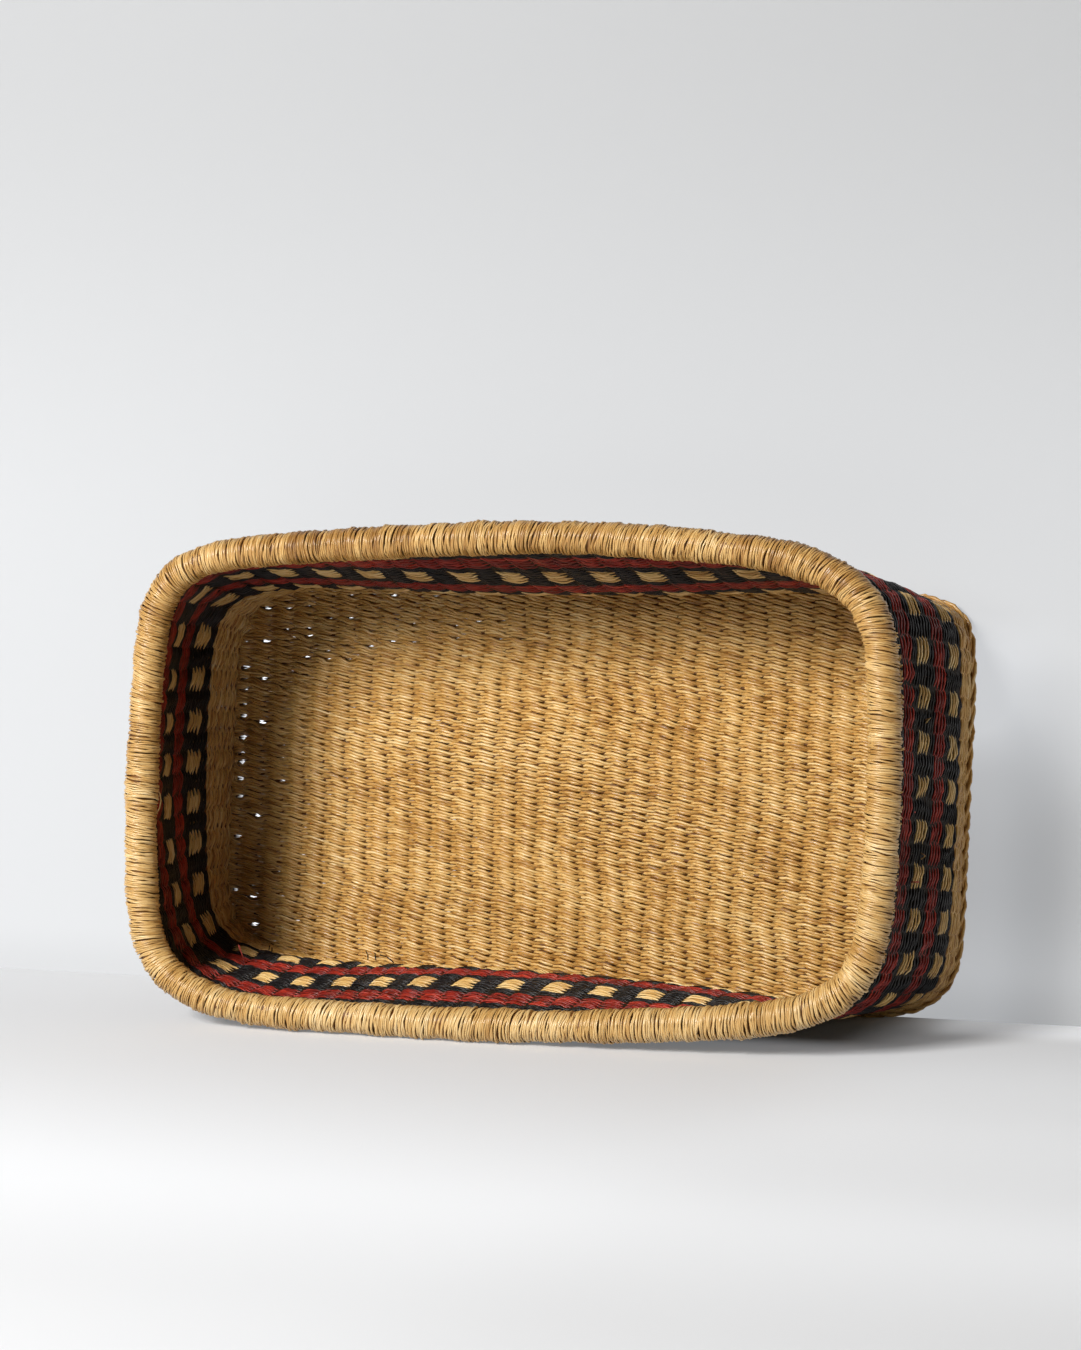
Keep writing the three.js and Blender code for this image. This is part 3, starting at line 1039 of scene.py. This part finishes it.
def build_stakes():
    """The stalks of the walls and those across the base."""
    wall = Straws("wall_stakes")
    levels = np.linspace(STAKE_LEVEL, RIM_LEVEL - STAKE_TOP_GAP, WALL_STAKE_POINTS)
    rows = [wall_places(np.arange(WALL_STAKES), level)[0] for level in levels]
    for stake in range(WALL_STAKES):
        wall.add(np.array([row[stake] for row in rows]), WALL_STAKE_RADIUS)
    names = [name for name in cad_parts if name.startswith("end_stakes")]
    keep(wall.finish(stake_straw), "stake_straw", *names)
    base = Straws("base_stakes")
    for stake in BASE_STAKE_NUMBERS:
        along = stake * BASE_STAKE_PITCH + BASE_STAKE_SHIFT
        share = min(abs(along) / (BASE_HALF[0] + CROSS_STAKE_ROOM), 1)
        reach = (1 - share**BASE_POWER) ** (1 / BASE_POWER)
        across = np.linspace(-reach, reach, BASE_STAKE_POINTS)
        run = column_place(np.full(len(across), float(stake)), across * BASE_HALF[1])
        base.add(base_point(run, across), STAKE_RADIUS)
    names = [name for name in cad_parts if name.startswith("cross_stake")]
    keep(base.finish(stake_straw), "stake_straw", *names)


rim_swell = Wander(size=0.3, first_reach=30, second_reach=30)
rim_lean = Wander(size=0.5, first_reach=34, second_reach=34)


def rim_places(step):
    """Points and outward directions of the rim's middle at steps of the plan."""
    return sample(mouth_plan, step), sample(outward(mouth_plan), step)


def rim_walk():
    """Distances walked along the mouth at each step of its plan."""
    sides = np.linalg.norm(np.roll(mouth_plan, -1, 0) - mouth_plan, axis=1)
    return np.concatenate([[0], np.cumsum(sides)])


def noise_round(size, knots, places):
    """Random values at evenly spaced knots of a closed run, joined by straight stretches."""
    values = rng.normal(0, size, knots)
    return np.interp(places * knots, np.arange(knots + 1), np.append(values, values[0]))


def winding(walked, shift, shared_lean):
    """One straw wound round the core: it strays, thins out and rides over its neighbours."""
    turns = round(walked[-1] / WRAP_PITCH)
    count = turns * WRAP_POINTS
    share = np.arange(count) / count
    angle = share * turns * TURN
    place = share * walked[-1] + shift
    round_x, round_y = circle(share * TURN, RIM_CIRCLE)
    lean = WRAP_LEAN + rim_lean(round_x, round_y) + np.interp(share * turns, *shared_lean)
    knots = WRAP_KNOTS * turns
    place = place + noise_round(WRAP_STRAY, knots, share) - lean * np.sin(angle)
    step = np.interp(np.mod(place, walked[-1]), walked, np.arange(PLAN_STEPS + 1))
    point, out = rim_places(step)
    bunch = -np.cos(BUNCHES * place / walked[-1] * TURN) * np.sin(angle / 2) ** 2
    radius = RIM_RADIUS - WRAP_RADIUS + BUNCH_HEIGHT * bunch
    radius += np.maximum(noise_round(WRAP_RISE, knots, share), DEEPEST_DIP)
    radius += rim_swell(round_x, round_y)
    flat = point + out * (radius * np.sin(angle))[:, None]
    path = np.column_stack([flat, RIM_LEVEL - radius * np.cos(angle)])
    size = WRAP_RADIUS * (1 + noise_round(WRAP_THICKENING, knots, share))
    thinnest, thickest = WRAP_THICKNESSES
    return path, np.clip(size, thinnest * WRAP_RADIUS, thickest * WRAP_RADIUS)


def build_rim():
    """Fine straw wound in pairs round a grass core, in bunches that swell a little."""
    walked = rim_walk()
    turns = round(walked[-1] / WRAP_PITCH)
    leans = rng.normal(0, WRAP_LEAN_STRAY, turns)
    shared_lean = (np.arange(turns + 1), np.append(leans, leans[0]))
    for number in (0, 1):
        wrap = Straws(f"rim_winding_{number + 1}")
        path, size = winding(walked, number * WRAP_PAIR_GAP, shared_lean)
        wrap.add(path, size, closed=True)
        nodes = ["rim_wrap"] if number == 0 else []
        keep(wrap.finish(rim_straw), "rim_straw", *nodes)
    core = Straws("rim_grass", resolution=3)
    ring, _ = rim_places(np.arange(0, PLAN_STEPS, CORE_STEP))
    path = np.column_stack([ring, np.full(len(ring), RIM_LEVEL)])
    core.add(path, RIM_RADIUS - CORE_DEPTH, closed=True)
    keep(core.finish(inner_straw_painted_shade), "stake_straw", "rim_core")


# Loose ends of straws, as the points of each: places in the plan and levels
PALE_ENDS = (
    ((-135.5, -114.8, 36), (-129.5, -112.5, 42)),
    ((237, -31.4, 90), (240.2, -33, 92), (237.1, -34.9, 90)),
    ((237.4, 44.7, 90), (240.6, 45.9, 92), (237.5, 43.1, 90)),
)
RED_ENDS = (
    ((-197.4, -119.3, 66), (-197.5, -111.8, 72), (-197, -104.2, 80)),
    ((234.5, -48, 100), (239.4, -47.8, 101)),
    ((233.2, -8.7, 100), (236.6, -8.1, 103)),
)
BLACK_ENDS = (
    ((-201, -113.8, 30), (-197.9, -108.5, 34), (-194.8, -105.7, 40)),
    ((-199, -113.7, 30), (-196.3, -109, 33), (-194, -106.9, 38)),
    ((-204.5, -113.4, 30), (-197.6, -109, 36), (-190.9, -112.2, 34)),
    ((-137.3, -106.6, 22), (-134.1, -108.8, 26), (-133.1, -111.5, 28)),
    ((-130.3, -107.4, 24), (-128.6, -111.8, 26)),
    ((-126.8, -108.5, 24), (-120.3, -109.3, 28), (-115.5, -112.6, 28)),
)
LOOSE_RADIUS = 0.42

# A loop of straw on the left of the rim: place, turn from below outwards, height over the rim
RIM_LOOP = (
    (-10, -78, -0.4),
    (-13, -70, 1.2),
    (-17.5, -66, 1.9),
    (-22, -70, 1.2),
    (-25, -78, -0.4),
)

# Frayed ends on the right of the rim: how many, where, how far they lean and stand out, and
# the share of the lean and the turn from below outwards at each of their points
FRAYED_ENDS = 46
FRAYED_RADIUS = 0.33
FRAYED_SPAN = (-92, 96)
FRAYED_LEAN = 1.5
FRAYED_BULGE = (0.5, 1.1)
FRAYED_RUN = ((0, 88), (1, 74), (0.5, 62), (-0.7, 50))
TUCKED_IN = -0.4


def rim_spot(place, degrees, height):
    """A point over the rim: nearest place of the mouth, turn from below outwards, height."""
    step = np.argmin(np.linalg.norm(mouth_plan - place, axis=1))
    point, out = rim_places(np.array([float(step)]))
    angle = math.radians(degrees)
    reach = RIM_RADIUS + height
    flat = point[0] + out[0] * reach * math.sin(angle)
    return (flat[0], flat[1], RIM_LEVEL - reach * math.cos(angle))


def frayed_end():
    """A short end that loops out under the edge of the winding on the right side."""
    along = rng.uniform(*FRAYED_SPAN)
    lean = rng.normal(0, FRAYED_LEAN)
    bulge = rng.uniform(*FRAYED_BULGE)
    place = MOUTH_HALF[0] + MOUTH_BOW[0]
    spots = []
    for (share, turn), height in zip(FRAYED_RUN, (TUCKED_IN, bulge, bulge, TUCKED_IN)):
        spots.append(rim_spot((place, along + lean * share), turn, height))
    return spots


def build_loose_ends():
    """Short ends of straw that stand out of the weave and the rim."""
    pale = Straws("loose_pale_ends")
    for _ in range(FRAYED_ENDS):
        pale.add(np.array(frayed_end()), FRAYED_RADIUS)
    place = -MOUTH_HALF[0] - MOUTH_BOW[0]
    loop = [rim_spot((place, along), turn, lift) for along, turn, lift in RIM_LOOP]
    pale.add(np.array(loop), LOOSE_RADIUS)
    for points in PALE_ENDS:
        pale.add(np.array(points, dtype=float), LOOSE_RADIUS)
    keep(pale.finish(natural_straw), "natural_straw")
    dyed = (("red", RED_ENDS, painted_light_red_straw), ("black", BLACK_ENDS, black_straw))
    for name, ends, material in dyed:
        target = Straws(f"loose_{name}_ends")
        for points in ends:
            target.add(np.array(points, dtype=float), LOOSE_RADIUS)
        keep(target.finish(material), f"{name}_straw")


build_base()
build_walls()
build_border()
build_stakes()
build_rim()
build_loose_ends()


# Stage, light, camera

STAGE_REACH = 3.0
REST_FOOT = 0.1305
REST_RIM = 0.1505

# Painted shade and light in the floor's glow: the far dusk, painted shade at the seam with the
# resting plane, and the basket's wide painted shadow with painted light that shapes it
FLOOR_PAINTED_SHADES = (
    (-0.12, ("Y", -0.12, -0.48)),
    (-0.06, ("Y", 0.098, REST_FOOT)),
    (-0.1, ("X", -0.25, -0.3), ("Y", -0.06, 0.02)),
    (-0.06, ("X", 0, -0.2), ("Y", -0.03, 0.04)),
    (0.06, ("X", 0, -0.2), ("Y", 0.05, 0.11)),
    (0.2, ("X", 0, -0.2), ("X", -0.31, -0.235), ("Y", -0.115, -0.08), ("Y", -0.01, -0.06)),
)

# Painted shade and light in the resting plane's glow: from the floor up and beside the basket,
# and last the painted dark middle of the basket's shadow
REST_PAINTED_SHADES = (
    (0.13, ("Z", 0.22, 0.57)),
    (-0.14, ("Z", 0.5, 0.74)),
    (0.04, ("Z", 0.16, 0), ("X", 0, 0.15)),
    (0.07, ("Z", 0.03, 0.2), ("X", -0.15, -0.28)),
    (-0.1, ("Z", 0.28, 0.46), ("X", -0.15, -0.28)),
    (0.12, ("Z", 0.05, 0), ("X", -0.2, -0.235)),
    (0.11, ("Z", 0.06, 0.03), ("X", -0.22, -0.245)),
    (-0.16, ("X", -0.03, -0.1), ("X", -0.26, -0.175), ("Z", 0.115, 0.075)),
)

# The floor under the base: how sharply its painted shade follows the plan, where it starts along
# the floor, and the painted light where the weave has gaps
UNDER_POWER = 8
UNDER_EDGE = (1, 0.85)
UNDER_START = (-0.222, -0.212)
PAINTED_LIGHT_START = (0.04, 0.09)
END_PAINTED_LIGHT = 1.5

PAPER_ROUGHNESS = 0.9
PAPER_SPECULAR = 0.1
PAPER_LIGHT = (0.93, 0.96, 1.0, 1)


def plain_material(name, colour, glow, slopes, painted_shades, limits, under=()):
    """A matt pale surface, with a light of its own that only the camera and gloss see.

    Slopes make it change evenly along the axes, as painted light and shade. Each painted shade
    is an amount and the steps along the axes whose product it follows. The light stays between
    the two limits. Under is two functions: where the base covers the surface, whose light is
    taken away there as painted shade, and the painted light there.
    """
    nodes = Nodes(name)
    nodes.shader.inputs["Base Color"].default_value = colour
    nodes.shader.inputs["Roughness"].default_value = PAPER_ROUGHNESS
    nodes.shader.inputs["Specular IOR Level"].default_value = PAPER_SPECULAR
    path = nodes.new("ShaderNodeLightPath")
    seen = nodes.mathed("MAXIMUM", path.outputs["Is Camera Ray"], path.outputs["Is Glossy Ray"])
    seen = nodes.mathed("MAXIMUM", seen, path.outputs["Is Transmission Ray"])
    nodes.shader.inputs["Emission Color"].default_value = PAPER_LIGHT
    run = nodes.new("ShaderNodeVectorMath", operation="DOT_PRODUCT")
    run.inputs[1].default_value = slopes
    nodes.link(object_place(nodes), run.inputs[0])
    level = nodes.mathed("ADD", run.outputs["Value"], glow)
    for amount, *steps in painted_shades:
        shade = amount
        for step in steps:
            shade = nodes.mathed("MULTIPLY", shade, edge_step(nodes, *step))
        level = nodes.mathed("ADD", level, shade)
    level = nodes.mathed("MAXIMUM", level, limits[0])
    level = nodes.mathed("MINIMUM", level, limits[1])
    if under:
        covered, lit = under
        level = nodes.mathed("MULTIPLY", level, nodes.mathed("SUBTRACT", 1, covered(nodes)))
        level = nodes.mathed("ADD", level, lit(nodes))
    nodes.link(nodes.mathed("MULTIPLY", seen, level), nodes.shader.inputs["Emission Strength"])
    return nodes


def soft_step(nodes, value, start, end):
    """Nought to one while a value goes from start to end, softly."""
    node = nodes.new("ShaderNodeMapRange", interpolation_type="SMOOTHSTEP")
    node.inputs["From Min"].default_value = start
    node.inputs["From Max"].default_value = end
    nodes.link(value, node.inputs["Value"])
    return node.outputs["Result"]


def object_place(nodes):
    return nodes.new("ShaderNodeTexCoord").outputs["Object"]


def axis_place(nodes, axis):
    """Metres along one axis."""
    split = nodes.new("ShaderNodeSeparateXYZ")
    nodes.link(object_place(nodes), split.inputs[0])
    return split.outputs[axis]


def edge_step(nodes, axis, start, end):
    """Nought to one between two places along an axis, softly."""
    return soft_step(nodes, axis_place(nodes, axis), start, end)


def under_base(nodes):
    """One on the floor that the base covers, with the base's own taper and turn. There the floor's
    own light is taken away, as painted shade.
    """
    along = axis_place(nodes, "X")
    turned_back = nodes.mathed("MULTIPLY", along, -BASE_TWIST)
    across = nodes.mathed("ADD", axis_place(nodes, "Y"), turned_back)
    taper = nodes.mathed("MULTIPLY", along, BASE_TAPER / (BASE_HALF[0] * MM))
    width = nodes.mathed("MULTIPLY", nodes.mathed("SUBTRACT", 1, taper), BASE_HALF[1] * MM)
    powers = []
    for place, half in ((along, BASE_HALF[0] * MM), (across, width)):
        share = nodes.mathed("DIVIDE", nodes.mathed("ABSOLUTE", place, 0), half)
        powers.append(nodes.mathed("POWER", share, UNDER_POWER))
    inside = soft_step(nodes, nodes.mathed("ADD", *powers), *UNDER_EDGE)
    return nodes.mathed("MULTIPLY", inside, edge_step(nodes, "X", *UNDER_START))


def painted_light_end(nodes):
    """Painted light on the floor under the end of the base, where the weave has gaps."""
    end = nodes.mathed("MULTIPLY", under_base(nodes), edge_step(nodes, "X", *PAINTED_LIGHT_START))
    return nodes.mathed("MULTIPLY", end, END_PAINTED_LIGHT)


def seen_from_one_side(nodes):
    """Leave the back of a surface clear, so that it hides nothing from behind."""
    clear = nodes.new("ShaderNodeBsdfTransparent")
    mix = nodes.new("ShaderNodeMixShader")
    nodes.link(nodes.new("ShaderNodeNewGeometry").outputs["Backfacing"], mix.inputs["Fac"])
    nodes.link(nodes.shader.outputs[0], mix.inputs[1])
    nodes.link(clear.outputs[0], mix.inputs[2])
    nodes.link(mix.outputs[0], nodes.tree.nodes["Material Output"].inputs["Surface"])


def stage_plane(name, near, far, far_level, material):
    """A plane across the stage, from the floor at a near line to a level at a far line."""
    corners = (
        (-STAGE_REACH, near, 0),
        (STAGE_REACH, near, 0),
        (STAGE_REACH, far, far_level),
        (-STAGE_REACH, far, far_level),
    )
    work = bmesh.new()
    work.faces.new([work.verts.new(corner) for corner in corners])
    mesh = bpy.data.meshes.new(name)
    work.to_mesh(mesh)
    work.free()
    piece = bpy.data.objects.new(name, mesh)
    bpy.context.scene.collection.objects.link(piece)
    mesh.materials.append(material)


def build_floor():
    paper = plain_material(
        "floor_paper",
        colour=(0.22, 0.22, 0.22, 1),
        glow=0.505,
        slopes=(0.11, 0.1, 0),
        painted_shades=FLOOR_PAINTED_SHADES,
        limits=(0.3, 0.6),
        under=(under_base, painted_light_end),
    )
    stage_plane("floor", -STAGE_REACH, STAGE_REACH, 0, paper.material)


def build_rest():
    """The plane that the basket's long side rests on, leaning back from foot to rim."""
    paper = plain_material(
        "rest_paper",
        colour=(0.65, 0.66, 0.68, 1),
        glow=0.17,
        slopes=(0.09, 0, 0),
        painted_shades=REST_PAINTED_SHADES,
        limits=(0.0, 0.4),
    )
    seen_from_one_side(paper)
    slope = (REST_RIM - REST_FOOT) / (RIM_LEVEL * MM)
    far = REST_FOOT + slope * STAGE_REACH
    stage_plane("rest_plane", REST_FOOT, far, STAGE_REACH, paper.material)


build_floor()
build_rest()


def aim(target, place, focus, up=Vector((0, 0, 1))):
    """Turn a lamp or camera at a place towards a focus."""
    back = (Vector(place) - Vector(focus)).normalized()
    side = up.cross(back).normalized()
    top = back.cross(side)
    turn = Matrix((side, top, back)).transposed().to_4x4()
    target.matrix_world = Matrix.Translation(place) @ turn


def softbox(name, place, focus, size, power, colour):
    """A rectangular lamp, in metres and watts."""
    lamp = bpy.data.lights.new(name, "AREA")
    lamp.shape = "RECTANGLE"
    lamp.size = size[0]
    lamp.size_y = size[1]
    lamp.energy = power
    lamp.color = colour
    holder = bpy.data.objects.new(name, lamp)
    bpy.context.scene.collection.objects.link(holder)
    aim(holder, place, focus)


def light_stage():
    softbox(
        "key_softbox",
        place=(0.87, -0.98, 2.7),
        focus=(0, 0, 0.08),
        size=(0.95, 0.95),
        power=117,
        colour=(1, 0.985, 0.96),
    )
    softbox(
        "side_softbox",
        place=(-1.3, 0.05, 0.1),
        focus=(-0.24, 0, 0.08),
        size=(0.6, 0.2),
        power=2.2,
        colour=(1, 0.9, 0.72),
    )


# Colour and strength of the light from all round, and colour of the distance in the picture
AMBIENT_LIGHT = (1.0, 0.93, 0.84, 1)
AMBIENT_STRENGTH = 0.07
DISTANCE_COLOUR = (0.68, 0.71, 0.75, 1)


def studio_world():
    """A faint warm light from all round, and a plain pale distance that the camera sees."""
    world = bpy.data.worlds.new("studio")
    world.use_nodes = True
    nodes = world.node_tree.nodes
    link = world.node_tree.links.new
    ambient = nodes["Background"]
    ambient.inputs["Color"].default_value = AMBIENT_LIGHT
    ambient.inputs["Strength"].default_value = AMBIENT_STRENGTH
    distance = nodes.new("ShaderNodeBackground")
    distance.inputs["Color"].default_value = DISTANCE_COLOUR
    seen_or_lit = nodes.new("ShaderNodeMixShader")
    link(nodes.new("ShaderNodeLightPath").outputs["Is Camera Ray"], seen_or_lit.inputs["Fac"])
    link(ambient.outputs[0], seen_or_lit.inputs[1])
    link(distance.outputs[0], seen_or_lit.inputs[2])
    link(seen_or_lit.outputs[0], nodes["World Output"].inputs["Surface"])
    bpy.context.scene.world = world


light_stage()
studio_world()

# Camera: turned to the right of the mouth's axis and a little down, almost level, with the
# photograph's scale in pixels for each millimetre at the middle of the mouth
CAMERA_YAW = 0.375
CAMERA_PITCH = -0.026
CAMERA_ROLL = -0.034
CAMERA_SIDE = -23.5
CAMERA_RISE = -63.0
CAMERA_DISTANCE = 2399.4
PHOTO_SCALE = 1.7246
PHOTO_WIDTH = 1081
SENSOR_WIDTH = 36


def photo_camera():
    """The camera from its turns about the middle of the mouth."""
    turn = Matrix.Rotation(CAMERA_ROLL, 3, "Z") @ Matrix.Rotation(CAMERA_PITCH, 3, "X")
    turn = turn @ Matrix.Rotation(-CAMERA_YAW, 3, "Y")
    half_turn = Matrix.Diagonal((-1, -1, 1))
    offset = Vector((CAMERA_SIDE, CAMERA_RISE, -CAMERA_DISTANCE))
    place = half_turn @ (turn.transposed() @ -offset)
    place = (place + Vector((0, 0, RIM_LEVEL))) * MM
    facing = half_turn @ turn.transposed()
    data = bpy.data.cameras.new("camera")
    data.sensor_fit = "HORIZONTAL"
    data.sensor_width = SENSOR_WIDTH
    data.lens = PHOTO_SCALE * CAMERA_DISTANCE / PHOTO_WIDTH * SENSOR_WIDTH
    camera = bpy.data.objects.new("camera", data)
    camera.matrix_world = Matrix.Translation(place) @ facing.to_4x4()
    bpy.context.scene.collection.objects.link(camera)
    bpy.context.scene.camera = camera


photo_camera()
bpy.context.scene.view_settings.view_transform = "Standard"
